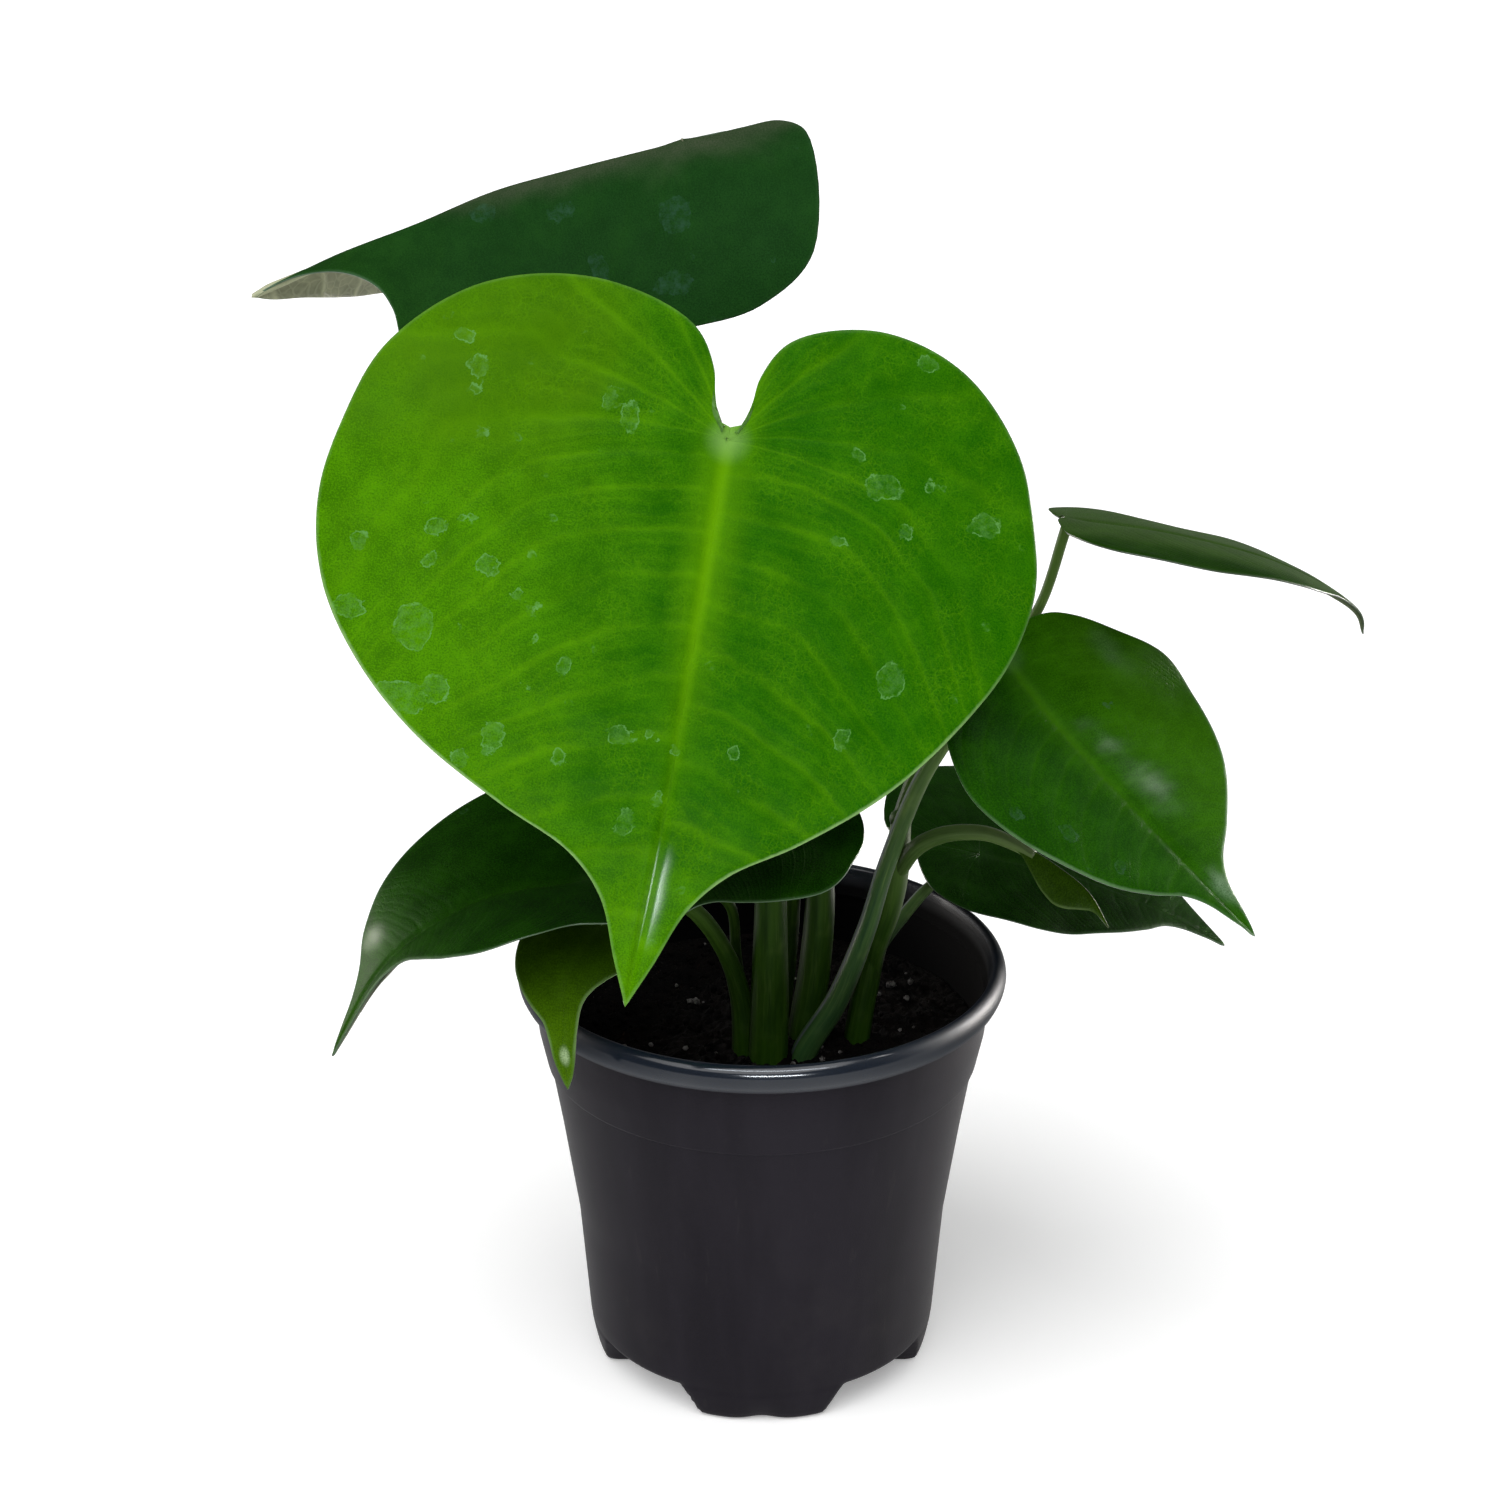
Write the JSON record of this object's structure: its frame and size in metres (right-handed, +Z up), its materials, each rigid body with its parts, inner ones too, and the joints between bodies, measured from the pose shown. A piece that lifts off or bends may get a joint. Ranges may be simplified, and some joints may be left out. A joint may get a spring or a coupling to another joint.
{
  "type": "potted plant",
  "caption": "Young climbing plant with large entire heart-shaped leaves on thin stalks, in a round tapered nursery pot with a rolled lip and a footed base, filled with dark potting mix.",
  "frame": {"origin": "centre of the pot's base, on the floor that it stands on", "axes": "+Z up along the pot's axis; the large front leaf faces -Y; +X to the right as seen from the front"},
  "size_m": [0.2487, 0.1527, 0.2867],
  "materials": {
    "black plastic": "satin matt moulded",
    "potting mix": "loose, moist, dark, with white perlite",
    "bright leaf": "satin, lime green, with hard-water spots",
    "dark leaf": "glossy dark green",
    "olive leaf": "satin olive green",
    "young leaf": "satin pale olive green",
    "stalk": "smooth pale green"
  },
  "bodies": {
    "root": {"pot": "black plastic", "soil": "potting mix", "leaf_front": "bright leaf", "leaf_rim": "olive leaf", "leaf_young": "young leaf", "leaf_back": "dark leaf", "leaf_upper_right": "dark leaf", "leaf_mid_right": "dark leaf", "leaf_low_right": "dark leaf", "leaf_left": "dark leaf", "leaf_centre": "dark leaf", "petiole_front": "stalk", "petiole_back": "stalk", "petiole_left": "stalk", "petiole_rim": "stalk", "petiole_centre": "stalk", "petiole_mid_right": "stalk", "petiole_low_right": "stalk", "stem_right": "stalk"}
  },
  "joints": []
}
